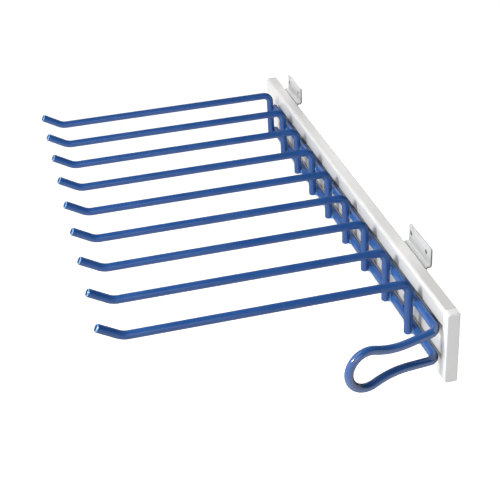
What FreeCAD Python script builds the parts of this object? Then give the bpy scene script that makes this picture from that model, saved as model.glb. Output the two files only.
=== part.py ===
"""Side-mounted pull-out trouser rack: nine wire fingers on a ball-bearing slide.

Millimetres, +Z up. The wardrobe's side panel is the plane X = 0 and the rack lies on its -X side.
The rack pulls out towards -Y. The origin is the middle of the front bracket's two screw holes,
on the panel's face.

Five groups of pieces move against each other: the panel side (brackets, outer rail), the outer
ball cage, the middle rail, the inner ball cage, and the rack (inner rail, cover, wire frame).
They are all drawn pushed in.
"""

import FreeCAD, Part
import math
import os
import Sketcher
from FreeCAD import Vector

SIZES = (
    # wall brackets: a wall flange, a level plate and a lower flange, bent from one strip
    ("bracket_sheet", 1.2, "thickness of the bracket's steel"),
    ("rear_bracket_setback", 13.7, "outer rail's rear end to the rear bracket's rear edge"),
    ("bracket_standoff", 4.1, "panel to the back of the lower flange"),
    ("bracket_flange_rise", 14.0, "level plate's top to the wall flange's top"),
    ("bracket_lower_drop", 50.0, "level plate's top to the lower flange's end"),
    ("bracket_bend", 1.0, "inner radius of the bracket's bends"),
    ("bracket_corner", 1.5, "rounding of the wall flange's corners"),
    ("screw_hole_diameter", 3.6, "hole for a 3.5 mm chipboard screw"),
    ("screw_hole_spacing", 29.0, "between the two holes of one bracket"),
    ("screw_hole_front_margin", 9.0, "front hole to the bracket's front edge"),
    ("screw_hole_rear_margin", 4.0, "rear hole to the bracket's rear edge"),
    ("screw_hole_height", 7.4, "holes above the level plate's top"),
    ("rivet_spacing", 24.0, "between the two rivets of one bracket, upright"),
    ("rivet_diameter", 3.2, "rivet shank"),
    ("rivet_sink_diameter", 5.4, "countersunk head, flush inside the outer rail"),
    ("rivet_head_diameter", 6.2, "domed head behind the bracket"),
    ("rivet_head_height", 1.3, "domed head behind the bracket"),
    ("rivet_dome_shoulder", 5.3, "domed head's diameter at half its height"),
    ("rivet_dome_flat", 2.8, "flat top of the domed head"),
    # cover: a white C-shaped moulding that hides the slide
    ("cover_rear_overhang", 48.2, "last finger to the cover's rear end"),
    ("cover_depth", 9.8, "front face to back edges"),
    ("cover_height", 56.5, "top to bottom"),
    ("cover_wall", 1.5, "wall of the cover"),
    ("cover_lip", 2.5, "height of the lips along the open back"),
    ("cover_front_radius", 2.5, "rounding of the two front edges"),
    ("cover_back_radius", 1.0, "rounding of the two back edges"),
    ("cover_above_plate", 0.6, "cover's top above the brackets' level plates"),
    ("front_overhang", 87.3, "front bracket's screws to the cap's face"),
    ("cap_length", 7.0, "visible length of the front cap"),
    ("cap_face", 2.0, "thickness of the cap's front wall"),
    ("cap_rim", 0.9, "rounding round the cap's face"),
    ("cap_tongue_length", 12.0, "tongues that push into the cover"),
    ("cap_tongue_thickness", 1.6, "tongues that push into the cover"),
    ("cap_tongue_fit", 0.1, "tongue to the cover's inside"),
    # slide: three rolled rails, two ball cages
    ("travel", 400.0, "pull-out length"),
    ("rail_setback", 3.0, "cap's face to the rails' front ends"),
    ("rail_rear_setback", 27.0, "cover's rear end to the moving rails' rear ends"),
    ("outer_sheet", 1.2, "outer rail's steel"),
    ("inner_sheet", 1.0, "middle and inner rail's steel"),
    ("rail_bend", 0.8, "inner radius of the rails' bends"),
    ("rail_head_gap", 2.2, "cover's lip to the outer rail"),
    ("rail_edge_gap", 0.8, "outer and middle rail's edges to the cover's inside"),
    ("running_gap", 0.3, "between pieces that slide past each other"),
    ("ball_diameter", 3.0, "bearing ball"),
    ("ball_play", 0.05, "round a ball in its race"),
    ("race_depth", 0.4, "depth of a rolled race"),
    ("race_margin", 1.1, "race centre to the rail's web"),
    ("balls_per_row", 5, "balls in one row of a cage"),
    ("ball_end_margin", 9.0, "cage's end to its first ball"),
    ("cage_sheet", 0.5, "ball cage's steel"),
    ("cage_gap", 0.2, "cage's web to the rails' webs"),
    ("pocket_play", 0.1, "round a ball in its cage"),
    ("pocket_edge", 0.6, "ball pocket to the cage's edge"),
    ("stop_width", 8.0, "stop tabs bent out of the webs"),
    ("stop_length", 1.2, "stop tabs, along the slide"),
    ("stop_gap", 0.3, "stop tab to the cage or buffer that it meets"),
    ("buffer_length", 9.7, "plastic closing buffer, along the slide"),
    ("buffer_height", 26.0, "plastic closing buffer"),
    ("buffer_stem_diameter", 4.0, "stem that snaps through the outer rail"),
    ("buffer_button_diameter", 6.5, "button at the stem's end"),
    ("buffer_button_height", 1.2, "button at the stem's end"),
    # wire frame: coated steel wire, welded
    ("wire_diameter", 6.2, "6 mm wire with its coat"),
    ("weld_sink", 0.15, "how far welded wires sink into each other"),
    ("finger_count", 9, "fingers"),
    ("finger_pitch", 46.0, "finger to finger"),
    ("finger_setback", 43.8, "cap's face to the first finger"),
    ("finger_reach", 202.3, "upright end to the outer bend"),
    ("finger_drop", 41.7, "arm's axis to the upright end's cut"),
    ("finger_bend", 6.5, "bend over the rods, at the wire's axis"),
    ("tip_out", 17.2, "turned-up tip, level"),
    ("tip_rise", 10.0, "turned-up tip, upright"),
    ("tip_bend", 14.0, "bend before the tip, at the wire's axis"),
    ("wire_end_chamfer", 0.7, "coat rounded at the cut ends"),
    ("rod_spacing", 23.7, "upper rod to lower rod"),
    ("rod_below_arm", 16.6, "arm's axis to the upper rod"),
    ("rod_above_middle", 1.6, "rods' middle above the cover's middle"),
    ("rod_overrun", 8.0, "rods' ends behind the last finger"),
    ("handle_setback", 38.1, "handle's corners in front of the first finger"),
    ("handle_yaw", 12.0, "handle turned towards the front, degrees"),
    ("handle_corner", 8.0, "bend between a rod and the handle, at the wire's axis"),
    ("handle_reach", 70.1, "corners to the handle's end"),
    ("handle_neck_out", 29.0, "corners to the handle's neck"),
    ("handle_neck_half", 9.5, "half the neck's height, to the wire's axis"),
    ("handle_bulb", 14.6, "radius of the handle's round end, to the wire's axis"),
    # fixing of the wire frame: plates welded behind the rods, screwed to the inner rail
    ("plate_width", 12.0, "fixing plate, along the rods"),
    ("plate_thickness", 1.1, "fixing plate"),
    ("plate_overlap", 1.2, "fixing plate beyond the rods' axes"),
    ("plate_corner", 1.0, "fixing plate's corners"),
    ("front_plate_offset", 25.0, "first finger to the front fixing plate"),
    ("middle_plate_offset", 32.0, "middle finger to the middle fixing plate"),
    ("rear_plate_offset", 38.0, "last finger but one to the rear fixing plate"),
    ("frame_screw_diameter", 4.0, "M4"),
    ("frame_screw_play", 0.2, "clearance hole, radial"),
    ("frame_screw_head", 7.6, "pan head's diameter"),
    ("frame_screw_head_height", 2.4, "pan head"),
    ("frame_screw_shoulder", 7.0, "pan head's diameter where its rounded top begins"),
    ("frame_screw_shoulder_height", 1.4, "pan head's height where its rounded top begins"),
    ("frame_screw_crown", 4.2, "pan head's flat top"),
    ("frame_screw_slot", 1.1, "cross recess's width"),
    ("frame_screw_slot_length", 3.8, "cross recess, tip to tip"),
    ("frame_screw_slot_depth", 1.3, "cross recess"),
    ("collar_height", 1.5, "drawn collar that the frame screws grip"),
    ("collar_wall", 1.0, "drawn collar's wall"),
)

doc = FreeCAD.newDocument("trouser_rack")
sheet = doc.addObject("Spreadsheet::Sheet", "sizes")
for row, (alias, number, note) in enumerate(SIZES, start=1):
    sheet.set(f"A{row}", alias)
    sheet.set(f"B{row}", str(number))
    sheet.set(f"C{row}", note)
    sheet.setAlias(f"B{row}", alias)
doc.recompute()


def sized(text):
    """Turn {alias} marks into references to the sheet."""
    return text.replace("{", "sizes.").replace("}", "")


def value(text):
    """The number that an expression over the sheet has now."""
    return float(sheet.evalExpression(text))


# ---- places that several pieces share, as expressions over the sheet ----

# across the slide (X), from the panel outwards
BRACKET_FACE = sized("(-{bracket_standoff} - {bracket_sheet})")
OUTER_FACE = sized(f"({BRACKET_FACE} - {{outer_sheet}})")
OUTER_CAGE_BACK = sized(f"({OUTER_FACE} - {{cage_gap}})")
MIDDLE_BACK = sized(f"({OUTER_CAGE_BACK} - {{cage_sheet}} - {{cage_gap}})")
MIDDLE_FACE = sized(f"({MIDDLE_BACK} - {{inner_sheet}})")
INNER_CAGE_BACK = sized(f"({MIDDLE_FACE} - {{cage_gap}})")
INNER_EDGE = sized(f"({INNER_CAGE_BACK} - {{cage_sheet}} - {{running_gap}})")
COVER_BACK = sized(f"({BRACKET_FACE} - {{running_gap}})")
COVER_FRONT = sized(f"({COVER_BACK} - {{cover_depth}})")
COVER_INSIDE = sized(f"({COVER_FRONT} + {{cover_wall}})")
INNER_BACK = sized(f"({COVER_INSIDE} + {{inner_sheet}})")
RAIL_EDGE = sized(f"({COVER_INSIDE} + {{rail_edge_gap}})")
OUTER_ROW_X = sized(f"({MIDDLE_FACE} - {{race_margin}})")
INNER_ROW_X = sized(f"({INNER_BACK} + {{race_margin}} + {{race_depth}})")
PLATE_FACE = sized(f"({COVER_FRONT} - {{plate_thickness}})")
ROD_X = sized(f"({PLATE_FACE} - {{wire_diameter}} / 2 + {{weld_sink}})")
DROP_X = sized(f"({ROD_X} - {{wire_diameter}} + {{weld_sink}})")

# heights (Z)
BRACKET_PLATE_TOP = sized("(-{screw_hole_height})")
COVER_TOP = sized(f"({BRACKET_PLATE_TOP} + {{cover_above_plate}})")
MIDDLE_Z = sized(f"({COVER_TOP} - {{cover_height}} / 2)")
RODS_Z = sized(f"({MIDDLE_Z} + {{rod_above_middle}})")
UPPER_ROD_Z = sized(f"({RODS_Z} + {{rod_spacing}} / 2)")
LOWER_ROD_Z = sized(f"({RODS_Z} - {{rod_spacing}} / 2)")
ARM_Z = sized(f"({UPPER_ROD_Z} + {{rod_below_arm}})")

# half heights of the slide's layers, from its middle outwards
BALL_GAP = sized("({ball_diameter} / 2 + {ball_play} - {race_depth})")
OUTER_HALF = sized("({cover_height} / 2 - {cover_wall} - {cover_lip} - {rail_head_gap})")
OUTER_INSIDE = sized(f"({OUTER_HALF} - {{outer_sheet}})")
OUTER_ROW_HALF = f"({OUTER_INSIDE} - {BALL_GAP})"
MIDDLE_HALF = f"({OUTER_ROW_HALF} - {BALL_GAP})"
MIDDLE_INSIDE = sized(f"({MIDDLE_HALF} - {{inner_sheet}})")
INNER_ROW_HALF = f"({MIDDLE_INSIDE} - {BALL_GAP})"
INNER_HALF = f"({INNER_ROW_HALF} - {BALL_GAP})"
INNER_INSIDE = sized(f"({INNER_HALF} - {{inner_sheet}})")

# along the slide (Y), from the front backwards
CAP_Y = sized("(-{front_overhang})")
FIRST_FINGER_Y = sized(f"({CAP_Y} + {{finger_setback}})")
LAST_FINGER_Y = sized(f"({FIRST_FINGER_Y} + ({{finger_count}} - 1) * {{finger_pitch}})")
MIDDLE_FINGER_Y = sized(
    f"({FIRST_FINGER_Y} + floor(({{finger_count}} - 1) / 2) * {{finger_pitch}})"
)
HANDLE_Y = sized(f"({FIRST_FINGER_Y} - {{handle_setback}})")
COVER_START = sized(f"({CAP_Y} + {{cap_length}})")
COVER_END = sized(f"({LAST_FINGER_Y} + {{cover_rear_overhang}})")
RAIL_START = sized(f"({CAP_Y} + {{rail_setback}})")
RAIL_END = sized(f"({COVER_END} - {{rail_rear_setback}})")
RAIL_LENGTH = f"({RAIL_END} - {RAIL_START})"
BUFFER_START = sized(f"({RAIL_END} + {{stop_gap}})")
BUFFER_Y = sized(f"({BUFFER_START} + {{buffer_length}} / 2)")
OUTER_RAIL_END = sized(f"({BUFFER_START} + {{buffer_length}})")
OUTER_RAIL_LENGTH = f"({OUTER_RAIL_END} - {RAIL_START})"
CAGE_START = sized(f"({RAIL_START} + {{stop_length}} + {{stop_gap}} + {{travel}} / 4)")
CAGE_LENGTH = sized(f"({RAIL_LENGTH} - 2 * {{stop_length}} - 2 * {{stop_gap}} - {{travel}} / 2)")
BRACKET_START = sized("(-{screw_hole_front_margin} - {screw_hole_spacing} / 2)")
BRACKET_END = sized("({screw_hole_rear_margin} + {screw_hole_spacing} / 2)")
BRACKET_WIDTH = f"({BRACKET_END} - {BRACKET_START})"
BRACKET_MIDDLE = f"(({BRACKET_START} + {BRACKET_END}) / 2)"
REAR_BRACKET_Y = sized(f"({OUTER_RAIL_END} - {{rear_bracket_setback}} - {BRACKET_END})")

FIXING_PLATES = {
    "front": sized(f"({FIRST_FINGER_Y} + {{front_plate_offset}})"),
    "middle": sized(f"({MIDDLE_FINGER_Y} + {{middle_plate_offset}})"),
    "rear": sized(f"({LAST_FINGER_Y} - {{finger_pitch}} + {{rear_plate_offset}})"),
}


# ---- sketching helpers ----


def new_body(name):
    body = doc.addObject("PartDesign::Body", name)
    body.Label = name
    return body


def new_sketch(body, role, offset="0"):
    """A sketch on one of the body's origin planes, moved along that plane's axis to offset.

    The XZ plane's normal points to -Y, so its offset is turned round and stays a place on Y.
    """
    sketch = body.newObject("Sketcher::SketchObject", f"{body.Name}_sketch")
    plane = [item for item in body.Origin.OriginFeatures if item.Role == role][0]
    sketch.AttachmentSupport = [(plane, "")]
    sketch.MapMode = "FlatFace"
    sign = "-" if role == "XZ_Plane" else ""
    sketch.setExpression("AttachmentOffset.Base.z", f"{sign}({offset})")
    return sketch


def pin(sketch, geometry, point, across, up):
    """Hold a sketch point at (across, up), both expressions over the sheet."""
    for kind, text in (("DistanceX", across), ("DistanceY", up)):
        index = sketch.addConstraint(
            Sketcher.Constraint(kind, -1, 1, geometry, point, value(text))
        )
        sketch.setExpression(f"Constraints[{index}]", text)


def draw_circle(sketch, across, up, radius):
    centre = Vector(value(across), value(up), 0)
    circle = sketch.addGeometry(Part.Circle(centre, Vector(0, 0, 1), value(radius)))
    pin(sketch, circle, 3, across, up)
    index = sketch.addConstraint(Sketcher.Constraint("Radius", circle, value(radius)))
    sketch.setExpression(f"Constraints[{index}]", radius)


def rounding(before, corner, after, radius):
    """The two tangent points and the middle of the arc that rounds a corner, in any plane."""
    to_before = (before - corner).normalize()
    to_after = (after - corner).normalize()
    half_angle = to_before.getAngle(to_after) / 2
    cut = radius / math.tan(half_angle)
    middle = (to_before + to_after).normalize()
    middle_reach = radius / math.sin(half_angle) - radius
    return corner + to_before * cut, corner + middle * middle_reach, corner + to_after * cut


def draw_outline(sketch, corners, closed=True):
    """Straight runs between corners (across, up) or rounded corners (across, up, radius)."""
    count = len(corners)
    points = [Vector(value(corner[0]), value(corner[1]), 0) for corner in corners]
    starts = list(points)
    ends = list(points)
    arcs = {}
    for i, corner in enumerate(corners):
        if len(corner) == 3:
            first, middle, last = rounding(
                points[i - 1], points[i], points[(i + 1) % count], value(corner[2])
            )
            arcs[i] = Part.Arc(first, middle, last)
            ends[i] = first
            starts[i] = last
    runs = count if closed else count - 1
    lines = [
        sketch.addGeometry(Part.LineSegment(starts[i], ends[(i + 1) % count]))
        for i in range(runs)
    ]
    for i, corner in enumerate(corners):
        if i in arcs:
            round_corner(sketch, arcs[i], lines[i - 1], lines[i], starts[i], corner)
        elif closed or 0 < i < count - 1:
            sketch.addConstraint(Sketcher.Constraint("Coincident", lines[i - 1], 2, lines[i], 1))
            pin(sketch, lines[i], 1, corner[0], corner[1])
        elif i == 0:
            pin(sketch, lines[0], 1, corner[0], corner[1])
        else:
            pin(sketch, lines[-1], 2, corner[0], corner[1])


def round_corner(sketch, arc, line_in, line_out, arc_exit, corner):
    """An arc tangent to both runs, held by the corner point where the runs would meet."""
    across, up, radius = corner
    bend = sketch.addGeometry(arc)
    ends_at_exit = sketch.getPoint(bend, 2).distanceToPoint(arc_exit) < 1e-6
    arc_in, arc_out = (1, 2) if ends_at_exit else (2, 1)
    apex = Vector(value(across), value(up), 0)
    point = sketch.addGeometry(Part.Point(apex), True)
    pin(sketch, point, 1, across, up)
    sketch.addConstraint(Sketcher.Constraint("Tangent", line_in, 2, bend, arc_in))
    sketch.addConstraint(Sketcher.Constraint("Tangent", bend, arc_out, line_out, 1))
    sketch.addConstraint(Sketcher.Constraint("PointOnObject", point, 1, line_in))
    sketch.addConstraint(Sketcher.Constraint("PointOnObject", point, 1, line_out))
    index = sketch.addConstraint(Sketcher.Constraint("Radius", bend, value(radius)))
    sketch.setExpression(f"Constraints[{index}]", radius)


def pad(body, sketch, length, reverse=False):
    """Grow a sketch along its normal; reversed on the XZ plane means towards +Y."""
    feature = body.newObject("PartDesign::Pad", f"{body.Name}_pad")
    feature.Profile = sketch
    feature.setExpression("Length", length)
    feature.Reversed = reverse
    return feature


def cut_through(body, sketch):
    """Cut a sketch through everything, both ways."""
    feature = body.newObject("PartDesign::Pocket", f"{body.Name}_cut")
    feature.Profile = sketch
    feature.Type = "ThroughAll"
    feature.Midplane = True
    return feature


def profile_body(name, corners, start, length):
    """A constant section in X and Z that runs along Y from start."""
    body = new_body(name)
    sketch = new_sketch(body, "XZ_Plane", start)
    draw_outline(sketch, corners)
    pad(body, sketch, length, reverse=True)
    return body


def box_pad(body, low_x, high_x, low_z, high_z, start, length):
    """Add a rectangular block, given by its edges in X and Z and its run along Y."""
    sketch = new_sketch(body, "XZ_Plane", start)
    draw_outline(
        sketch, ((low_x, low_z), (high_x, low_z), (high_x, high_z), (low_x, high_z))
    )
    pad(body, sketch, length, reverse=True)


def drill(body, holes):
    """Holes across the slide: (along, up, radius) on the YZ plane, cut along X."""
    sketch = new_sketch(body, "YZ_Plane")
    for along, up, radius in holes:
        draw_circle(sketch, along, up, radius)
    cut_through(body, sketch)


def edge_names(feature, wanted):
    """Names of the feature's edges for which wanted(edge) is true."""
    edges = enumerate(feature.Shape.Edges, start=1)
    return [f"Edge{number}" for number, edge in edges if wanted(edge)]


def dress(body, kind, size, wanted):
    """Fillet or chamfer the edges of the body's tip for which wanted(edge) is true."""
    doc.recompute()
    base = body.Tip
    feature = body.newObject(f"PartDesign::{kind}", f"{body.Name}_{kind.lower()}")
    feature.Base = (base, edge_names(base, wanted))
    feature.setExpression("Radius" if kind == "Fillet" else "Size", size)


def channel(outer_x, edge_x, half, inside, web, bend):
    """Corners of a channel on its side: web at outer_x, two flanges that end at edge_x.

    half and inside are the half heights of its outer and inner faces, web the web's inner face,
    and bend the inner bend's radius; the outer bend has the flange's thickness on top.
    """
    outer_bend = f"({bend} + {half} - {inside})"
    top, bottom = f"({MIDDLE_Z} + {half})", f"({MIDDLE_Z} - {half})"
    inner_top, inner_bottom = f"({MIDDLE_Z} + {inside})", f"({MIDDLE_Z} - {inside})"
    return (
        (outer_x, top, outer_bend),
        (edge_x, top),
        (edge_x, inner_top),
        (web, inner_top, bend),
        (web, inner_bottom, bend),
        (edge_x, inner_bottom),
        (edge_x, bottom),
        (outer_x, bottom, outer_bend),
    )


def roll_race(body, row_x, row_half, sheet_size, side, start, length):
    """The ridges that rolling a ball race raises on the far side of both flanges.

    side is +1 where the metal lies outside the row of balls, -1 where it lies inside. The
    grooves themselves are cut afterwards, by cut_races.
    """
    groove = sized("({ball_diameter} / 2 + {ball_play})")
    ridge = f"({groove} + {sheet_size})"
    chord = sized(f"({groove} - {{race_depth}} / 2 + {sheet_size} / 2)")
    for flange in (1, -1):
        up = flange * side
        row_z = f"({MIDDLE_Z} + {flange} * {row_half})"
        sketch = new_sketch(body, "XZ_Plane", start)
        draw_segment(sketch, row_x, row_z, ridge, chord, up)
        pad(body, sketch, length, reverse=True)


def draw_segment(sketch, across, up, radius, chord, side):
    """The slice of a disc beyond a level chord, above its centre (side 1) or below (-1)."""
    centre = Vector(value(across), value(up), 0)
    half = math.sqrt(value(radius) ** 2 - value(chord) ** 2)
    level = value(chord) * side
    left, right = centre + Vector(-half, level, 0), centre + Vector(half, level, 0)
    crown = centre + Vector(0, value(radius) * side, 0)
    arc = sketch.addGeometry(Part.Arc(left, crown, right))
    line = sketch.addGeometry(Part.LineSegment(left, right))
    starts_left = sketch.getPoint(arc, 1).distanceToPoint(left) < 1e-6
    at_left, at_right = (1, 2) if starts_left else (2, 1)
    sketch.addConstraint(Sketcher.Constraint("Coincident", arc, at_left, line, 1))
    sketch.addConstraint(Sketcher.Constraint("Coincident", arc, at_right, line, 2))
    sketch.addConstraint(Sketcher.Constraint("Horizontal", line))
    pin(sketch, arc, 3, across, up)
    index = sketch.addConstraint(Sketcher.Constraint("Radius", arc, value(radius)))
    sketch.setExpression(f"Constraints[{index}]", radius)
    height = f"({up} + {side} * {chord})"
    index = sketch.addConstraint(
        Sketcher.Constraint("DistanceY", -1, 1, line, 1, value(height))
    )
    sketch.setExpression(f"Constraints[{index}]", height)


def cut_races(body, rows):
    """Cut the grooves of one or more pairs of ball rows: (row_x, row_half)."""
    groove = sized("({ball_diameter} / 2 + {ball_play})")
    sketch = new_sketch(body, "XZ_Plane")
    for row_x, row_half in rows:
        for flange in (1, -1):
            draw_circle(sketch, row_x, f"({MIDDLE_Z} + {flange} * {row_half})", groove)
    cut_through(body, sketch)


# ---- panel side: brackets, rivets, outer rail, closing buffer ----


def bracket(name, shift):
    """Z-shaped strip: the wall flange carries the screws, the lower flange the outer rail."""
    sheet_size = sized("{bracket_sheet}")
    bend = sized("{bracket_bend}")
    outer_bend = f"({bend} + {sheet_size})"
    top = sized(f"({BRACKET_PLATE_TOP} + {{bracket_flange_rise}})")
    bottom = sized(f"({BRACKET_PLATE_TOP} - {{bracket_lower_drop}})")
    under = f"({BRACKET_PLATE_TOP} - {sheet_size})"
    lower_back = sized("(-{bracket_standoff})")
    corners = (
        ("0", top),
        (f"-{sheet_size}", top),
        (f"-{sheet_size}", BRACKET_PLATE_TOP, bend),
        (BRACKET_FACE, BRACKET_PLATE_TOP, outer_bend),
        (BRACKET_FACE, bottom),
        (lower_back, bottom),
        (lower_back, under, bend),
        ("0", under, outer_bend),
    )
    body = profile_body(name, corners, BRACKET_START, BRACKET_WIDTH)
    screw = sized("({screw_hole_diameter} / 2)")
    rivet = sized("({rivet_diameter} / 2)")
    half = sized("({screw_hole_spacing} / 2)")
    drill(
        body,
        [(f"-{half}", "0", screw), (half, "0", screw)]
        + [(BRACKET_MIDDLE, height, rivet) for height in rivet_heights()],
    )
    flange_top = value(top)
    flange_bottom = value(bottom)

    def is_corner(edge):
        box = edge.BoundBox
        across_sheet = abs(box.XLength - value(sheet_size)) < 1e-6 and box.YLength < 1e-6
        level = box.ZLength < 1e-6
        return across_sheet and level and (
            abs(box.ZMax - flange_top) < 1e-6 or abs(box.ZMin - flange_bottom) < 1e-6
        )

    dress(body, "Fillet", sized("{bracket_corner}"), is_corner)
    body.setExpression("Placement.Base.y", shift)
    return body


def rivet_heights():
    half = sized("{rivet_spacing} / 2")
    return [f"({MIDDLE_Z} + {half})", f"({MIDDLE_Z} - {half})"]


def rivet(name, along, height):
    """Countersunk head flush in the outer rail, shank through the bracket, domed head behind."""
    body = new_body(name)
    sketch = new_sketch(body, "XY_Plane")
    shank = sized("({rivet_diameter} / 2)")
    sunk = sized("({rivet_sink_diameter} / 2)")
    head = sized("({rivet_head_diameter} / 2)")
    back = sized("(-{bracket_standoff})")
    dome = sized(f"({back} + {{rivet_head_height}})")
    draw_outline(
        sketch,
        (
            (OUTER_FACE, "0"),
            (OUTER_FACE, sunk),
            (f"({OUTER_FACE} + {sunk} - {shank})", shank),
            (back, shank),
            (back, head),
            (f"({back} + {dome}) / 2", sized("({rivet_dome_shoulder} / 2)")),
            (dome, sized("({rivet_dome_flat} / 2)")),
            (dome, "0"),
        ),
    )
    feature = body.newObject("PartDesign::Revolution", f"{name}_turned")
    feature.Profile = sketch
    feature.ReferenceAxis = (sketch, ["H_Axis"])
    feature.Angle = 360
    body.setExpression("Placement.Base.y", along)
    body.setExpression("Placement.Base.z", height)
    return body


def outer_rail():
    """Fixed channel, open towards the rack, with a stop tab at its front."""
    corners = channel(
        BRACKET_FACE, RAIL_EDGE, OUTER_HALF, OUTER_INSIDE, OUTER_FACE, sized("{rail_bend}")
    )
    body = profile_body("outer_rail", corners, RAIL_START, OUTER_RAIL_LENGTH)
    roll_race(
        body, OUTER_ROW_X, OUTER_ROW_HALF, sized("{outer_sheet}"), 1, RAIL_START, OUTER_RAIL_LENGTH
    )
    cut_races(body, [(OUTER_ROW_X, OUTER_ROW_HALF)])
    stop_tab(body, sized(f"({MIDDLE_BACK} + {{cage_gap}})"), BRACKET_FACE, RAIL_START)
    for shift in ("0", REAR_BRACKET_Y):
        for height in rivet_heights():
            sink_rivet(body, f"({BRACKET_MIDDLE} + {shift})", height)
    drill(body, [(BUFFER_Y, MIDDLE_Z, sized("({buffer_stem_diameter} / 2)"))])
    return body


def stop_tab(body, low_x, high_x, start):
    """A tab bent out of a web, in the slide's middle, that the ball cage runs up against."""
    half = sized("{stop_width} / 2")
    box_pad(
        body,
        low_x,
        high_x,
        f"({MIDDLE_Z} - {half})",
        f"({MIDDLE_Z} + {half})",
        start,
        sized("{stop_length}"),
    )


def sink_rivet(body, along, height):
    """A hole in the outer rail's web with a countersink for a rivet's flush head."""
    sketch = new_sketch(body, "XY_Plane", height)
    sketch.setExpression("AttachmentOffset.Base.y", along)
    shank = sized("({rivet_diameter} / 2)")
    sunk = sized("({rivet_sink_diameter} / 2)")
    draw_outline(
        sketch,
        (
            (OUTER_FACE, "0"),
            (OUTER_FACE, sunk),
            (f"({OUTER_FACE} + {sunk} - {shank})", shank),
            (BRACKET_FACE, shank),
            (BRACKET_FACE, "0"),
        ),
    )
    feature = body.newObject("PartDesign::Groove", f"{body.Name}_sink")
    feature.Profile = sketch
    feature.ReferenceAxis = (sketch, ["H_Axis"])
    feature.Angle = 360


def closing_buffer():
    """Plastic block in the outer rail's rear end that the two moving rails run up against."""
    half = sized("({buffer_height} / 2)")
    body = new_body("closing_buffer")
    box_pad(
        body,
        RAIL_EDGE,
        OUTER_FACE,
        f"({MIDDLE_Z} - {half})",
        f"({MIDDLE_Z} + {half})",
        BUFFER_START,
        sized("{buffer_length}"),
    )
    stem = new_sketch(body, "YZ_Plane", OUTER_FACE)
    draw_circle(stem, BUFFER_Y, MIDDLE_Z, sized("({buffer_stem_diameter} / 2)"))
    pad(body, stem, sized("{outer_sheet}"))
    button = new_sketch(body, "YZ_Plane", BRACKET_FACE)
    draw_circle(button, BUFFER_Y, MIDDLE_Z, sized("({buffer_button_diameter} / 2)"))
    pad(body, button, sized("{buffer_button_height}"))
    return body


# ---- ball cages and middle rail ----


def ball_cage(name, back, row_x, row_half):
    """U-shaped strip whose flanges hold an upper and a lower row of balls."""
    tip = sized(f"({row_x} - {{ball_diameter}} / 2 - {{pocket_play}} - {{pocket_edge}})")
    half = sized(f"({row_half} + {{cage_sheet}} / 2)")
    inside = sized(f"({row_half} - {{cage_sheet}} / 2)")
    face = sized(f"({back} - {{cage_sheet}})")
    corners = channel(back, tip, half, inside, face, sized("{cage_gap}"))
    body = profile_body(name, corners, CAGE_START, CAGE_LENGTH)
    sketch = new_sketch(body, "XY_Plane")
    radius = sized("({ball_diameter} / 2 + {pocket_play})")
    draw_circle(sketch, row_x, sized(f"({CAGE_START} + {{ball_end_margin}})"), radius)
    pocket = cut_through(body, sketch)
    pattern = body.newObject("PartDesign::LinearPattern", f"{name}_pockets")
    pattern.Originals = [pocket]
    pattern.Direction = (sketch, ["V_Axis"])
    pattern.setExpression("Length", sized(f"({CAGE_LENGTH} - 2 * {{ball_end_margin}})"))
    pattern.setExpression("Occurrences", sized("{balls_per_row}"))
    body.Tip = pattern
    return body


def balls(name, row_x, row_half):
    """The loose balls of one cage: an upper and a lower row of separate solids."""
    first = value(CAGE_START) + sheet.ball_end_margin
    pitch = (value(CAGE_LENGTH) - 2 * sheet.ball_end_margin) / (sheet.balls_per_row - 1)
    spheres = []
    for flange in (1, -1):
        for number in range(int(sheet.balls_per_row)):
            centre = Vector(
                value(row_x),
                first + number * pitch,
                value(MIDDLE_Z) + flange * value(row_half),
            )
            spheres.append(Part.makeSphere(sheet.ball_diameter / 2, centre))
    feature = doc.addObject("Part::Feature", name)
    feature.Label = name
    feature.Shape = Part.makeCompound(spheres)
    return feature


def middle_rail():
    """Channel between the two ball cages, with a stop tab at each end."""
    corners = channel(
        MIDDLE_BACK, RAIL_EDGE, MIDDLE_HALF, MIDDLE_INSIDE, MIDDLE_FACE, sized("{rail_bend}")
    )
    sheet_size = sized("{inner_sheet}")
    body = profile_body("middle_rail", corners, RAIL_START, RAIL_LENGTH)
    roll_race(body, OUTER_ROW_X, OUTER_ROW_HALF, sheet_size, -1, RAIL_START, RAIL_LENGTH)
    roll_race(body, INNER_ROW_X, INNER_ROW_HALF, sheet_size, 1, RAIL_START, RAIL_LENGTH)
    cut_races(body, [(OUTER_ROW_X, OUTER_ROW_HALF), (INNER_ROW_X, INNER_ROW_HALF)])
    front_tip = sized(f"({INNER_CAGE_BACK} - {{cage_sheet}})")
    rear_tip = sized(f"({OUTER_FACE} - {{cage_gap}})")
    stop_tab(body, front_tip, MIDDLE_BACK, RAIL_START)
    stop_tab(body, MIDDLE_FACE, rear_tip, sized(f"({RAIL_END} - {{stop_length}})"))
    return body


# ---- rack: inner rail, cover, cap ----


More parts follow.
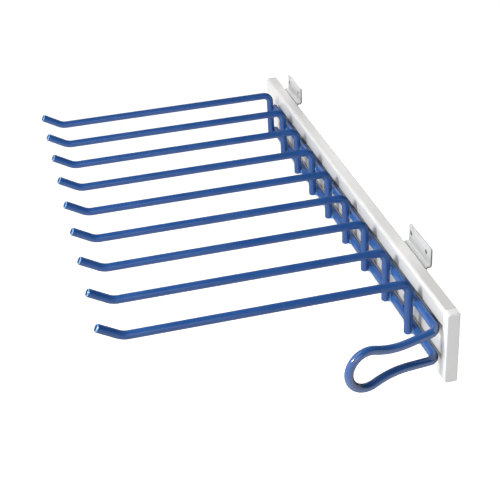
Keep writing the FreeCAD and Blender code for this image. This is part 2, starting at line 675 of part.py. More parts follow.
def inner_rail():
    """Channel screwed behind the cover, open towards the panel, with collars for the screws."""
    corners = channel(
        COVER_INSIDE, INNER_EDGE, INNER_HALF, INNER_INSIDE, INNER_BACK, sized("{rail_bend}")
    )
    sheet_size = sized("{inner_sheet}")
    body = profile_body("inner_rail", corners, RAIL_START, RAIL_LENGTH)
    roll_race(body, INNER_ROW_X, INNER_ROW_HALF, sheet_size, -1, RAIL_START, RAIL_LENGTH)
    cut_races(body, [(INNER_ROW_X, INNER_ROW_HALF)])
    lug_top = sized(f"({INNER_ROW_HALF} + {{cage_sheet}} / 2)")
    lug_start = sized(f"({RAIL_END} - {{stop_length}})")
    groove = sized("({ball_diameter} / 2)")
    for flange in (1, -1):
        box_pad(
            body,
            f"({INNER_ROW_X} - {groove})",
            f"({INNER_ROW_X} + {groove})",
            f"({MIDDLE_Z} + {flange} * {INNER_INSIDE})",
            f"({MIDDLE_Z} + {flange} * {lug_top})",
            lug_start,
            sized("{stop_length}"),
        )
    collars = new_sketch(body, "YZ_Plane", COVER_INSIDE)
    bore = sized("({frame_screw_diameter} / 2)")
    for along in FIXING_PLATES.values():
        draw_circle(collars, along, RODS_Z, sized(f"({bore} + {{collar_wall}})"))
    pad(body, collars, sized("({inner_sheet} + {collar_height})"))
    drill(body, [(along, RODS_Z, bore) for along in FIXING_PLATES.values()])
    return body


def cover_section():
    """Corners of the cover's C: rounded front, open back with two short lips."""
    wall = sized("{cover_wall}")
    front = sized("{cover_front_radius}")
    back = sized("{cover_back_radius}")
    inner = f"({front} - {wall})"
    bottom = sized(f"({COVER_TOP} - {{cover_height}})")
    lip = sized(f"({wall} + {{cover_lip}})")
    lip_inside = f"({COVER_BACK} - {wall})"
    return (
        (COVER_FRONT, COVER_TOP, front),
        (COVER_FRONT, bottom, front),
        (COVER_BACK, bottom, back),
        (COVER_BACK, f"({bottom} + {lip})"),
        (lip_inside, f"({bottom} + {lip})"),
        (lip_inside, f"({bottom} + {wall})"),
        (COVER_INSIDE, f"({bottom} + {wall})", inner),
        (COVER_INSIDE, f"({COVER_TOP} - {wall})", inner),
        (lip_inside, f"({COVER_TOP} - {wall})"),
        (lip_inside, f"({COVER_TOP} - {lip})"),
        (COVER_BACK, f"({COVER_TOP} - {lip})"),
        (COVER_BACK, COVER_TOP, back),
    )


def rail_cover():
    """White moulding over the slide, with clearance holes for the frame screws."""
    body = profile_body(
        "rail_cover", cover_section(), COVER_START, f"({COVER_END} - {COVER_START})"
    )
    hole = sized("({frame_screw_diameter} / 2 + {frame_screw_play})")
    drill(body, [(along, RODS_Z, hole) for along in FIXING_PLATES.values()])
    return body


def front_cap():
    """End cap: a face with a rounded rim, a short C that carries on the cover, two tongues."""
    front = sized("{cover_front_radius}")
    back = sized("{cover_back_radius}")
    bottom = sized(f"({COVER_TOP} - {{cover_height}})")
    face = (
        (COVER_FRONT, COVER_TOP, front),
        (COVER_FRONT, bottom, front),
        (COVER_BACK, bottom, back),
        (COVER_BACK, COVER_TOP, back),
    )
    body = profile_body("front_cap", face, CAP_Y, sized("{cap_face}"))
    face_y = value(CAP_Y)
    dress(
        body, "Fillet", sized("{cap_rim}"), lambda edge: abs(edge.BoundBox.YMax - face_y) < 1e-6
    )
    skirt = new_sketch(body, "XZ_Plane", sized(f"({CAP_Y} + {{cap_face}})"))
    draw_outline(skirt, cover_section())
    pad(body, skirt, sized("({cap_length} - {cap_face})"), reverse=True)
    inside_top = sized(f"({COVER_TOP} - {{cover_wall}} - {{cap_tongue_fit}})")
    inside_bottom = sized(f"({bottom} + {{cover_wall}} + {{cap_tongue_fit}})")
    thickness = sized("{cap_tongue_thickness}")
    low_x = sized("({cover_front_radius} - {cover_wall})")
    for low, high in (
        (f"({inside_top} - {thickness})", inside_top),
        (inside_bottom, f"({inside_bottom} + {thickness})"),
    ):
        box_pad(
            body,
            f"({COVER_INSIDE} + {low_x})",
            sized(f"({COVER_BACK} - {{cover_wall}} - {{cap_tongue_fit}})"),
            low,
            high,
            sized(f"({CAP_Y} + {{cap_face}})"),
            sized("({cap_length} - {cap_face} + {cap_tongue_length})"),
        )
    return body


# ---- rack: wire frame ----


def finger(number):
    """One wire: upright end welded behind, bend, level arm, turned-up tip."""
    name = f"finger_{number}"
    along = sized(f"({FIRST_FINGER_Y} + {number - 1} * {{finger_pitch}})")
    foot = sized(f"({ARM_Z} - {{finger_drop}})")
    outer_bend = sized(f"({DROP_X} - {{finger_reach}})")
    body = new_body(name)
    path = new_sketch(body, "XZ_Plane")
    draw_outline(
        path,
        (
            (DROP_X, foot),
            (DROP_X, ARM_Z, sized("{finger_bend}")),
            (outer_bend, ARM_Z, sized("{tip_bend}")),
            (sized(f"({outer_bend} - {{tip_out}})"), sized(f"({ARM_Z} + {{tip_rise}})")),
        ),
        closed=False,
    )
    section = new_sketch(body, "XY_Plane", foot)
    draw_circle(section, DROP_X, "0", sized("({wire_diameter} / 2)"))
    doc.recompute()
    wire = body.newObject("PartDesign::AdditivePipe", f"{name}_wire")
    wire.Profile = section
    wire.Spine = (path, [f"Edge{index}" for index in range(1, len(path.Shape.Edges) + 1)])
    dress(body, "Chamfer", sized("{wire_end_chamfer}"), is_cut_end(path.Shape))
    body.setExpression("Placement.Base.y", along)
    return body


def is_cut_end(path):
    """Test for the round edges at a bent wire's two cut ends."""
    ends = [vertex.Point for vertex in (path.OrderedVertexes[0], path.OrderedVertexes[-1])]

    def test(edge):
        middle = edge.BoundBox.Center
        return edge.isClosed() and any(middle.distanceToPoint(end) < 1e-3 for end in ends)

    return test


def handle_plane_point(out, up):
    """A point of the handle's plane: out from the rods' corners, up from the rods' middle."""
    yaw = math.radians(sheet.handle_yaw)
    return Vector(
        value(ROD_X) - out * math.cos(yaw),
        value(HANDLE_Y) - out * math.sin(yaw),
        value(RODS_Z) + up,
    )


def handle_arcs():
    """The handle's upper half in its own plane: where its leg, neck arc and round end meet.

    The neck arc bends inwards and touches the round end's circle, which sets its radius; the leg
    is the tangent from the rod's corner to the neck arc. Points are (out, up).
    """
    bulb = sheet.handle_bulb
    neck = sheet.handle_neck_half
    neck_out = sheet.handle_neck_out
    bulb_out = sheet.handle_reach - bulb
    run = bulb_out - neck_out
    neck_radius = (run**2 + neck**2 - bulb**2) / (2 * (bulb - neck))
    rise = neck + neck_radius
    share = bulb / (bulb + neck_radius)
    bulb_touch = (bulb_out - run * share, rise * share)
    corner_up = sheet.rod_spacing / 2
    to_centre = Vector(neck_out, rise - corner_up, 0)
    leg = math.sqrt(to_centre.Length**2 - neck_radius**2)
    turn = math.atan2(to_centre.y, to_centre.x) - math.atan2(neck_radius, leg)
    leg_touch = (leg * math.cos(turn), corner_up + leg * math.sin(turn))
    neck_middle = (neck_out, neck)
    return leg_touch, neck_middle, bulb_touch


def frame_wire():
    """One long wire: upper rod, corner, key-shaped handle, corner, lower rod."""
    rod_end = value(LAST_FINGER_Y) + sheet.rod_overrun
    leg_touch, neck_middle, bulb_touch = handle_arcs()
    half = {}
    for side in (1, -1):
        rear = Vector(value(ROD_X), rod_end, value(RODS_Z) + side * sheet.rod_spacing / 2)
        corner = handle_plane_point(0, side * sheet.rod_spacing / 2)
        leg_end = handle_plane_point(leg_touch[0], side * leg_touch[1])
        bend_in, bend_middle, bend_out = rounding(rear, corner, leg_end, sheet.handle_corner)
        neck = handle_plane_point(neck_middle[0], side * neck_middle[1])
        round_end = handle_plane_point(bulb_touch[0], side * bulb_touch[1])
        half[side] = [
            Part.LineSegment(rear, bend_in),
            Part.Arc(bend_in, bend_middle, bend_out),
            Part.LineSegment(bend_out, leg_end),
            Part.Arc(leg_end, neck, round_end),
        ]
    tip = handle_plane_point(sheet.handle_reach, 0)
    round_arc = Part.Arc(half[1][-1].EndPoint, tip, half[-1][-1].EndPoint)
    pieces = half[1] + [round_arc] + half[-1][::-1]
    path = Part.Wire(Part.__sortEdges__([piece.toShape() for piece in pieces]))
    start = half[1][0].StartPoint
    circle = Part.Circle(start, Vector(0, 1, 0), sheet.wire_diameter / 2)
    section = Part.Face(Part.Wire(circle.toShape()))
    wire = path.makePipe(section)
    test = is_cut_end(path)
    ends = [edge for edge in wire.Edges if test(edge)]
    feature = doc.addObject("Part::Feature", "frame_wire")
    feature.Label = "frame_wire"
    feature.Shape = wire.makeChamfer(sheet.wire_end_chamfer, ends)
    return feature


def fixing_plate(place):
    """Flat plate welded behind both rods; it lies on the cover and takes one screw."""
    along = FIXING_PLATES[place]
    body = new_body(f"fixing_plate_{place}")
    sketch = new_sketch(body, "YZ_Plane", PLATE_FACE)
    half_width = sized("{plate_width} / 2")
    top = sized(f"({UPPER_ROD_Z} + {{plate_overlap}})")
    bottom = sized(f"({LOWER_ROD_Z} - {{plate_overlap}})")
    radius = sized("{plate_corner}")
    draw_outline(
        sketch,
        (
            (f"({along} - {half_width})", bottom, radius),
            (f"({along} + {half_width})", bottom, radius),
            (f"({along} + {half_width})", top, radius),
            (f"({along} - {half_width})", top, radius),
        ),
    )
    hole = sized("({frame_screw_diameter} / 2 + {frame_screw_play})")
    draw_circle(sketch, along, RODS_Z, hole)
    pad(body, sketch, sized("{plate_thickness}"))
    return body


def frame_screw(place):
    """Pan-head screw through a fixing plate and the cover into the inner rail's collar."""
    name = f"frame_screw_{place}"
    body = new_body(name)
    sketch = new_sketch(body, "XY_Plane")
    shank = sized("({frame_screw_diameter} / 2)")
    head = sized("({frame_screw_head} / 2)")
    crown = sized(f"({PLATE_FACE} - {{frame_screw_head_height}})")
    shoulder = sized(f"({PLATE_FACE} - {{frame_screw_shoulder_height}})")
    end = sized(f"({INNER_BACK} + {{collar_height}})")
    draw_outline(
        sketch,
        (
            (crown, "0"),
            (crown, sized("({frame_screw_crown} / 2)")),
            (shoulder, sized("({frame_screw_shoulder} / 2)")),
            (PLATE_FACE, head),
            (PLATE_FACE, shank),
            (end, shank),
            (end, "0"),
        ),
    )
    turned = body.newObject("PartDesign::Revolution", f"{name}_turned")
    turned.Profile = sketch
    turned.ReferenceAxis = (sketch, ["H_Axis"])
    turned.Angle = 360
    slot = sized("({frame_screw_slot} / 2)")
    arm = sized("({frame_screw_slot_length} / 2)")
    cross = new_sketch(body, "YZ_Plane", crown)
    draw_outline(
        cross,
        (
            (f"-{arm}", f"-{slot}"),
            (f"-{slot}", f"-{slot}"),
            (f"-{slot}", f"-{arm}"),
            (slot, f"-{arm}"),
            (slot, f"-{slot}"),
            (arm, f"-{slot}"),
            (arm, slot),
            (slot, slot),
            (slot, arm),
            (f"-{slot}", arm),
            (f"-{slot}", slot),
            (f"-{arm}", slot),
        ),
    )
    recess = body.newObject("PartDesign::Pocket", f"{name}_recess")
    recess.Profile = cross
    recess.setExpression("Length", sized("{frame_screw_slot_depth}"))
    recess.Reversed = True
    body.setExpression("Placement.Base.y", FIXING_PLATES[place])
    body.setExpression("Placement.Base.z", RODS_Z)
    return body


# ---- build everything, check it, write it ----

pieces = [bracket("front_bracket", "0"), bracket("rear_bracket", REAR_BRACKET_Y)]
for place, shift in (("front", "0"), ("rear", REAR_BRACKET_Y)):
    for level, height in zip(("upper", "lower"), rivet_heights()):
        pieces.append(
            rivet(f"{place}_bracket_{level}_rivet", f"({BRACKET_MIDDLE} + {shift})", height)
        )
pieces += [outer_rail(), closing_buffer()]
pieces += [
    ball_cage("outer_cage", OUTER_CAGE_BACK, OUTER_ROW_X, OUTER_ROW_HALF),
    balls("outer_balls", OUTER_ROW_X, OUTER_ROW_HALF),
    middle_rail(),
    ball_cage("inner_cage", INNER_CAGE_BACK, INNER_ROW_X, INNER_ROW_HALF),
    balls("inner_balls", INNER_ROW_X, INNER_ROW_HALF),
]
pieces += [inner_rail(), rail_cover(), front_cap(), frame_wire()]
pieces += [finger(number) for number in range(1, int(sheet.finger_count) + 1)]
pieces += [fixing_plate(place) for place in FIXING_PLATES]
pieces += [frame_screw(place) for place in FIXING_PLATES]

doc.recompute()
for item in doc.Objects:
    if "Invalid" in item.State or "Error" in item.State:
        raise RuntimeError(f"{item.Name} did not build: {item.State}")
for piece in pieces:
    if piece.Shape.isNull() or not piece.Shape.isValid():
        raise RuntimeError(f"{piece.Label} has no valid solid")

os.makedirs("parts", exist_ok=True)
for piece in pieces:
    piece.Shape.exportStep(f"parts/{piece.Label}.step")
    print(f"{piece.Label}: {len(piece.Shape.Solids)} solid(s), {piece.Shape.Volume:.1f} mm3")
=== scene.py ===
"""Looks of the side-mounted pull-out trouser rack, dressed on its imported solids.

Metres, +Z up, in the part's own frame: the wardrobe panel is the plane X = 0, the rack lies on
its -X side and pulls out towards -Y. Colours are (red, green, blue) in linear light.
"""

import math

import bpy
import numpy as np
from mathutils import Matrix, Vector


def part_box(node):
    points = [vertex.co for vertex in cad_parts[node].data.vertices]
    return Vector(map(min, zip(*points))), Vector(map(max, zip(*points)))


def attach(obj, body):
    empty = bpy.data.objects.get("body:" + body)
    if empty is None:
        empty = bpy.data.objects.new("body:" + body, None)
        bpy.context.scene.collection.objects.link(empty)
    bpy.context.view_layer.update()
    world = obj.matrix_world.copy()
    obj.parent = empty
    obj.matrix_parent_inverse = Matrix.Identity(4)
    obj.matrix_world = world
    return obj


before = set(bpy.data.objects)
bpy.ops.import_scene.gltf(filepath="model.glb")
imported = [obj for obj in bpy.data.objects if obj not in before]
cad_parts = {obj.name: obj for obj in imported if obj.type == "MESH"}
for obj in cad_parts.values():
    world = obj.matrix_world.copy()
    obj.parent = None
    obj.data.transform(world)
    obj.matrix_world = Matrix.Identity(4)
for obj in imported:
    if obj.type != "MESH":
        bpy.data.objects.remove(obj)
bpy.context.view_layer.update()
MM = 0.001

# ---- places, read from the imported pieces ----

FINGERS = [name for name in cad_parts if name.startswith("finger_")]
PLATES = [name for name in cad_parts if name.startswith("fixing_plate_")]
FRAME_SCREWS = [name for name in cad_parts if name.startswith("frame_screw_")]
RIVETS = [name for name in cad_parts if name.endswith("_rivet")]
BRACKETS = ("front_bracket", "rear_bracket")

FINGER_LOW, FINGER_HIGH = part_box(FINGERS[0])
WIRE_RADIUS = (FINGER_HIGH.y - FINGER_LOW.y) / 2
UPRIGHT_X = FINGER_HIGH.x - WIRE_RADIUS
FOOT_Z = FINGER_LOW.z
TIP_RISE, TIP_RUN = 10.0 * MM, 17.2 * MM
TIP_SLOPE = math.atan2(TIP_RISE, TIP_RUN)
TIP_DIRECTION = Vector((-math.cos(TIP_SLOPE), 0.0, math.sin(TIP_SLOPE)))

FRAME_WIRE_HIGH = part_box("frame_wire")[1]
ROD_X = FRAME_WIRE_HIGH.x - WIRE_RADIUS
ROD_END_Y = FRAME_WIRE_HIGH.y
COVER_FRONT_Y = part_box("rail_cover")[0].y

PLATE_LOW, PLATE_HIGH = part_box(PLATES[0])
PLATE_FACE = PLATE_LOW.x
PLATE_WIDTH = PLATE_HIGH.y - PLATE_LOW.y
PLATE_PAST_ROD = 1.2 * MM  # how far a plate reaches past the middle line of each rod
UPPER_ROD_Z = PLATE_HIGH.z - PLATE_PAST_ROD
LOWER_ROD_Z = PLATE_LOW.z + PLATE_PAST_ROD
ROD_HEIGHTS = (UPPER_ROD_Z, LOWER_ROD_Z)

SCREW_HOLE_RADIUS = 1.8 * MM
SCREW_HOLE_SPACING = 29.0 * MM
SCREW_HOLE_MARGIN = 9.0 * MM
BALL_RADIUS = 1.5 * MM


def middle_y(node):
    low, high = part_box(node)
    return (low.y + high.y) / 2


def farthest(node, direction):
    """How far the node's mesh comes in a direction: the largest dot product of a corner with it."""
    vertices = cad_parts[node].data.vertices
    places = np.empty(3 * len(vertices), np.float32)
    vertices.foreach_get("co", places)
    return float((places.reshape(-1, 3) @ np.array(direction)).max())


def screw_holes(bracket):
    """The two holes of a bracket's wall flange, as (y, z, radius)."""
    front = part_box(bracket)[0].y + SCREW_HOLE_MARGIN
    return tuple((y, 0.0, SCREW_HOLE_RADIUS) for y in (front, front + SCREW_HOLE_SPACING))


def ball_rows(node):
    """The places (x, z) of the upper and the lower row of balls in a cage."""
    low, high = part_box(node)
    middle_x = (low.x + high.x) / 2
    return [(middle_x, high.z - BALL_RADIUS), (middle_x, low.z + BALL_RADIUS)]


# ---- node trees ----


def add(tree, kind, inputs=None, **settings):
    """A node with its settings and inputs; an input may be a value or another node's socket."""
    node = tree.nodes.new(kind)
    for name, setting in settings.items():
        setattr(node, name, setting)
    for name, given in (inputs or {}).items():
        socket = node.inputs[name]
        if isinstance(given, bpy.types.NodeSocket):
            tree.links.new(given, socket)
        else:
            socket.default_value = given
    return node


def math_node(tree, operation, first, second=0.0, third=0.0, clamp=False):
    inputs = {0: first, 1: second, 2: third}
    return add(tree, "ShaderNodeMath", inputs, operation=operation, use_clamp=clamp).outputs[0]


def opaque(colour):
    return colour if isinstance(colour, bpy.types.NodeSocket) else (*colour, 1.0)


MIX_SHARE, MIX_FIRST, MIX_SECOND, MIX_RESULT = 0, 6, 7, 2  # the colour sockets of a Mix node


def blend_colour(tree, share, first, second):
    """Mix of two colours: the first where share is 0, the second where it is 1."""
    inputs = {MIX_SHARE: share, MIX_FIRST: opaque(first), MIX_SECOND: opaque(second)}
    return add(tree, "ShaderNodeMix", inputs, data_type="RGBA").outputs[MIX_RESULT]


def scaled(colour, share):
    return tuple(channel * share for channel in colour)


def between(tree, value, low, high, to_low=0.0, to_high=1.0):
    """Smooth ramp from to_low at low to to_high at high."""
    inputs = {
        "Value": value,
        "From Min": low,
        "From Max": high,
        "To Min": to_low,
        "To Max": to_high,
    }
    node = add(tree, "ShaderNodeMapRange", inputs, interpolation_type="SMOOTHSTEP")
    return node.outputs["Result"]


def noise(tree, place, scale, detail=3.0, roughness=0.5):
    inputs = {"Vector": place, "Scale": scale, "Detail": detail, "Roughness": roughness}
    return add(tree, "ShaderNodeTexNoise", inputs).outputs["Fac"]


def distance(tree, first, second, at_first, at_second):
    """How far a point lies from (at_first, at_second) in the plane of its two coordinates."""
    off_first = math_node(tree, "SUBTRACT", first, at_first)
    off_second = math_node(tree, "SUBTRACT", second, at_second)
    square = math_node(tree, "MULTIPLY", off_second, off_second)
    return math_node(tree, "SQRT", math_node(tree, "MULTIPLY_ADD", off_first, off_first, square))


def off_from(tree, value, middle):
    """How far a value is from a middle, on either side."""
    return math_node(tree, "ABSOLUTE", math_node(tree, "SUBTRACT", value, middle))


def stretched(tree, place, scale):
    """The place multiplied per axis, so that a pattern runs along the axis with the least."""
    node = add(tree, "ShaderNodeVectorMath", {0: place, 1: scale}, operation="MULTIPLY")
    return node.outputs["Vector"]


def come_along(tree, place, direction):
    """How far a place has come in a direction: the dot product of the two."""
    node = add(tree, "ShaderNodeVectorMath", {0: place, 1: direction}, operation="DOT_PRODUCT")
    return node.outputs["Value"]


def axes_of(tree, place):
    node = add(tree, "ShaderNodeSeparateXYZ", {"Vector": place})
    return node.outputs["X"], node.outputs["Y"], node.outputs["Z"]


def new_group(name, sockets_in, sockets_out):
    group = bpy.data.node_groups.new(name, "ShaderNodeTree")
    for label, kind, default in sockets_in:
        socket = group.interface.new_socket(label, in_out="INPUT", socket_type=kind)
        if default is not None:
            socket.default_value = default
    for label, kind in sockets_out:
        group.interface.new_socket(label, in_out="OUTPUT", socket_type=kind)
    start = group.nodes.new("NodeGroupInput")
    end = group.nodes.new("NodeGroupOutput")
    return group, start.outputs, end


def use_group(tree, group, inputs):
    return add(tree, "ShaderNodeGroup", inputs, node_tree=group).outputs


def coat_skin_group():
    """Skin of a dipped or moulded plastic: fine peel over a long slow waviness, and clouds."""
    group, given, end = new_group(
        "coat_skin",
        (
            ("Place", "NodeSocketVector", None),
            ("Peel Scale", "NodeSocketFloat", 900.0),
            ("Wave Scale", "NodeSocketFloat", 60.0),
            ("Wave Share", "NodeSocketFloat", 0.5),
        ),
        (("Height", "NodeSocketFloat"), ("Cloud", "NodeSocketFloat")),
    )
    peel = noise(group, given["Place"], given["Peel Scale"], detail=2.0, roughness=0.45)
    wave = noise(group, given["Place"], given["Wave Scale"], detail=2.0, roughness=0.4)
    height = math_node(group, "MULTIPLY_ADD", wave, given["Wave Share"], peel)
    group.links.new(height, end.inputs["Height"])
    cloud = noise(group, given["Place"], scale=22.0, detail=4.0, roughness=0.6)
    group.links.new(cloud, end.inputs["Cloud"])
    return group


def rolled_grain_group():
    """Grain of rolled steel: long streaks along one axis, fine scratches in them, and spangle."""
    group, given, end = new_group(
        "rolled_grain",
        (("Place", "NodeSocketVector", None), ("Stretch", "NodeSocketVector", (400.0, 6.0, 400.0))),
        (("Streak", "NodeSocketFloat"), ("Height", "NodeSocketFloat"), ("Spangle", "NodeSocketFloat")),
    )
    scratch_share = 0.6
    spangle_scale = 420.0
    drawn = stretched(group, given["Place"], given["Stretch"])
    streak = noise(group, drawn, scale=1.0, detail=4.0, roughness=0.6)
    scratch = noise(group, drawn, scale=4.0, detail=3.0, roughness=0.7)
    height = math_node(group, "MULTIPLY_ADD", scratch, scratch_share, streak)
    cells = {"Vector": given["Place"], "Scale": spangle_scale}
    spangle = add(group, "ShaderNodeTexVoronoi", cells, feature="F1").outputs["Color"]
    flake = add(group, "ShaderNodeSeparateColor", {"Color": spangle}).outputs["Red"]
    group.links.new(streak, end.inputs["Streak"])
    group.links.new(height, end.inputs["Height"])
    group.links.new(flake, end.inputs["Spangle"])
    return group


def dust_group():
    """Faint dust that settles on what faces up, thicker in patches."""
    group, given, end = new_group(
        "dust",
        (("Place", "NodeSocketVector", None), ("Facing", "NodeSocketVector", None)),
        (("Mask", "NodeSocketFloat"),),
    )
    up = axes_of(group, given["Facing"])[2]
    patches = noise(group, given["Place"], scale=35.0, detail=5.0, roughness=0.65)
    settled = between(group, up, low=0.2, high=1.0)
    thick = between(group, patches, low=0.42, high=0.75)
    group.links.new(math_node(group, "MULTIPLY", settled, thick), end.inputs["Mask"])
    return group


COAT_SKIN = coat_skin_group()
ROLLED_GRAIN = rolled_grain_group()
DUST = dust_group()


class Finish:
    """A material with a Principled shader, its object coordinates and its object-space normal."""

    def __init__(self, name, **constants):
        self.material = bpy.data.materials.new(name)
        self.material.use_nodes = True
        self.tree = self.material.node_tree
        self.shader = self.tree.nodes["Principled BSDF"]
        for socket, number in constants.items():
            self.shader.inputs[socket.replace("_", " ")].default_value = number
        coordinates = add(self.tree, "ShaderNodeTexCoord")
        self.place = coordinates.outputs["Object"]
        self.facing = coordinates.outputs["Normal"]

    def feed(self, socket, source):
        self.tree.links.new(source, self.shader.inputs[socket])

    def bump(self, height, strength, depth):
        inputs = {"Height": height, "Strength": strength, "Distance": depth}
        node = add(self.tree, "ShaderNodeBump", inputs)
        self.feed("Normal", node.outputs["Normal"])

    def dusted(self, colour, dust, share):
        """The colour with a share of dust on what faces up."""
        mask = use_group(self.tree, DUST, {"Place": self.place, "Facing": self.facing})["Mask"]
        return blend_colour(self.tree, math_node(self.tree, "MULTIPLY", mask, share), colour, dust)


# ---- finishes ----

# Noise keeps near its middle, 0.5, so these spans (low, high) take in most of it.
NOISE_SPAN = (0.3, 0.7)
WIDE_NOISE_SPAN = (0.25, 0.75)
METAL_ROUGH_SPREAD = 0.12

# Wire coat. The bands round a cut are measured back from the cut face, from none to full. The
# spans of the edge are those of Layer Weight's Facing, 0 at a wire's middle and 1 at its edge.
# The pale rim blue is a thin coat and a painted highlight; the dark cut blue is painted shade of a sunk
# end.
RIM_THIN_COAT_AND_HIGHLIGHT_BLUE = (0.2, 0.42, 0.74)
CUT_FACE_SHADE_BLUE = (0.01, 0.05, 0.18)
RIM_BAND = (0.95 * MM, 0.5 * MM)
CUT_BAND = (0.14 * MM, 0.04 * MM)
COAT_ROUGH = (0.18, 0.28)
EDGE_ROUGH = 1.0
EDGE_FADE = (0.4, 0.8)
EDGE_DULL = (0.2, 0.6)
DUST_ON_BLUE = (0.5, 0.52, 0.55)

# Painted contact shade where the rods lie along the cover: dark lines on the rods and on the
# cover. The sides are spans of the normal's X: the rods' side next to the cover, and the cover's
# outer face.
ROD_CONTACT_SHADE = (0.004, 0.014, 0.045)
COVER_CONTACT_SHADE = (0.02, 0.028, 0.045)
CONTACT_SHADE_REACH = (1.4 * MM, 2.6 * MM)
CONTACT_SHADE_END = 2.0 * MM
CONTACT_SHADE_SHARE = 0.9
ROD_SHADED_SIDE = (0.3, 0.75)
OUTER_FACE = (-0.95, -0.7)

# White mouldings, with a painted shadow in the seam between the cover and its cap.
SEAM_SHADOW_GREY = (0.33, 0.33, 0.32)
SEAM_BAND = (0.1 * MM, 0.45 * MM)
SEAM_SHARE = 0.55
CLOUD_SHADE = 0.965
MOULDING_ROUGH_SPREAD = 0.07
DUST_ON_WHITE = (0.62, 0.61, 0.58)

# Zinc plate: spangle, painted shade low on the flange by its bend, dark bare sheared edges, and
# hole walls darkened as bare cut steel and as painted shade inside the holes. The faces are
# spans of how squarely the normal lies along X (a flange) or along Y (a sheared edge).
SPANGLE_SHARE, SPANGLE_SHADE = 0.12, 0.72
BEND_SHADE_SHARE, BEND_SHADE = 0.6, 0.6
FLANGE_FACE = (0.5, 0.9)
SHEARED_FACE = (0.8, 0.97)
SHEAR_STREAKS = (1500.0, 1.0, 1500.0)
SHEAR_DARK, SHEAR_LIGHT = 0.2, 0.42
SHEAR_ROUGHER = 0.2
HOLE_WALL = (0.1 * MM, 0.3 * MM)

# Rolled rails, with the greasy tracks that the balls run in.
RAIL_DULL, RAIL_BRIGHT = (0.5, 0.515, 0.53), (0.68, 0.69, 0.705)
RAIL_STREAKS = (700.0, 5.0, 700.0)
GREASE = (0.36, 0.34, 0.29)
GREASE_STREAKS = (300.0, 40.0, 300.0)
TRACK_REACH = (1.56 * MM, 1.75 * MM)
TRACK_POLISH = -0.16

# Small parts.
TARNISH_SHADE = 0.82
GRAIN_FINER = 6.0
PLASTIC_SHADE = 0.93


def wire_coat(name, deep, thin, gloss, cuts=(), contact_shaded=False):
    """Blue dip coat on steel wire, in drifts of two blues: deep where it is thick, and thin.

    Its gloss fades out towards the wire's edges, so they stay deep blue on a white ground.
    cuts are (direction, reach) pairs: the wire is cut square where it has come that far in that
    direction. Round a cut the rounded rim is pale, as a thin coat and a painted highlight, and the
    flat cut face is dark, as painted shade of a sunk end. A wire that lies along the cover can be
    given painted shade on its side next to the cover, standing in for its contact shadow.
    """
    finish = Finish(name, IOR=1.45, Specular_IOR_Level=0.25, Coat_Roughness=0.1, Coat_IOR=1.65)
    tree = finish.tree
    skin = use_group(tree, COAT_SKIN, {"Place": finish.place, "Peel Scale": 1100.0})
    tint = between(tree, skin["Cloud"], *NOISE_SPAN)
    colour = blend_colour(tree, tint, deep, thin)
    # Painted highlight on the rim of each cut, and painted shade on its flat face.
    for direction, reach in cuts:
        along = come_along(tree, finish.place, direction)
        rim = between(tree, along, *(reach - back for back in RIM_BAND))
        face = between(tree, along, *(reach - back for back in CUT_BAND))
        colour = blend_colour(tree, rim, colour, RIM_THIN_COAT_AND_HIGHLIGHT_BLUE)
        colour = blend_colour(tree, face, colour, CUT_FACE_SHADE_BLUE)
    # Painted shade: the rod's side next to the cover is darkened, standing in for its contact shadow.
    if contact_shaded:
        shaded_side = between(tree, axes_of(tree, finish.facing)[0], *ROD_SHADED_SIDE)
        colour = blend_colour(tree, shaded_side, colour, ROD_CONTACT_SHADE)
    finish.feed("Base Color", finish.dusted(colour, DUST_ON_BLUE, share=0.03))
    finish.bump(skin["Height"], strength=0.16, depth=0.2 * MM)
    edge = add(tree, "ShaderNodeLayerWeight", {"Blend": 0.5}).outputs["Facing"]
    skin_rough = between(tree, skin["Cloud"], *WIDE_NOISE_SPAN, *COAT_ROUGH)
    edge_rough = between(tree, edge, *EDGE_DULL, COAT_ROUGH[0], EDGE_ROUGH)
    finish.feed("Roughness", math_node(tree, "MAXIMUM", skin_rough, edge_rough))
    finish.feed("Coat Weight", between(tree, edge, *EDGE_FADE, gloss, 0.0))
    return finish.material


def white_moulding(name, colour, rough, seam_y=None, contact_shade_heights=()):
    """Glossy white moulded plastic: faint clouds, a slow sink waviness, a soft seam shadow.

    The last argument gives the heights of the rods that lie along its outer face, where dark
    lines of painted contact shade run.
    """
    finish = Finish(name, IOR=1.49)
    tree = finish.tree
    sinks = {"Place": finish.place, "Peel Scale": 700.0, "Wave Scale": 28.0, "Wave Share": 2.0}
    skin = use_group(tree, COAT_SKIN, sinks)
    cloud = between(tree, skin["Cloud"], *NOISE_SPAN)
    shade = blend_colour(tree, cloud, scaled(colour, CLOUD_SHADE), colour)
    facing_x, _, _ = axes_of(tree, finish.facing)
    _, along, up = axes_of(tree, finish.place)
    # Painted seam shadow: a grey band across the joint with the cap.
    if seam_y is not None:
        seam = between(tree, off_from(tree, along, seam_y), *SEAM_BAND, 1.0, 0.0)
        shade = blend_colour(tree, math_node(tree, "MULTIPLY", seam, SEAM_SHARE), shade, SEAM_SHADOW_GREY)
    # Painted contact shade: dark lines on the outer face along the rods' heights.
    for height in contact_shade_heights:
        contact_shade_line = between(tree, off_from(tree, up, height), *CONTACT_SHADE_REACH, CONTACT_SHADE_SHARE, 0.0)
        ends = between(tree, along, ROD_END_Y - CONTACT_SHADE_END, ROD_END_Y, 1.0, 0.0)
        outer = between(tree, facing_x, *OUTER_FACE, 1.0, 0.0)
        contact_shade_line = math_node(tree, "MULTIPLY", contact_shade_line, math_node(tree, "MULTIPLY", outer, ends))
        shade = blend_colour(tree, contact_shade_line, shade, COVER_CONTACT_SHADE)
    finish.feed("Base Color", finish.dusted(shade, DUST_ON_WHITE, share=0.08))
    duller = rough + MOULDING_ROUGH_SPREAD
    finish.feed("Roughness", between(tree, skin["Cloud"], *WIDE_NOISE_SPAN, rough, duller))
    finish.bump(skin["Height"], strength=0.05, depth=0.3 * MM)
    return finish.material


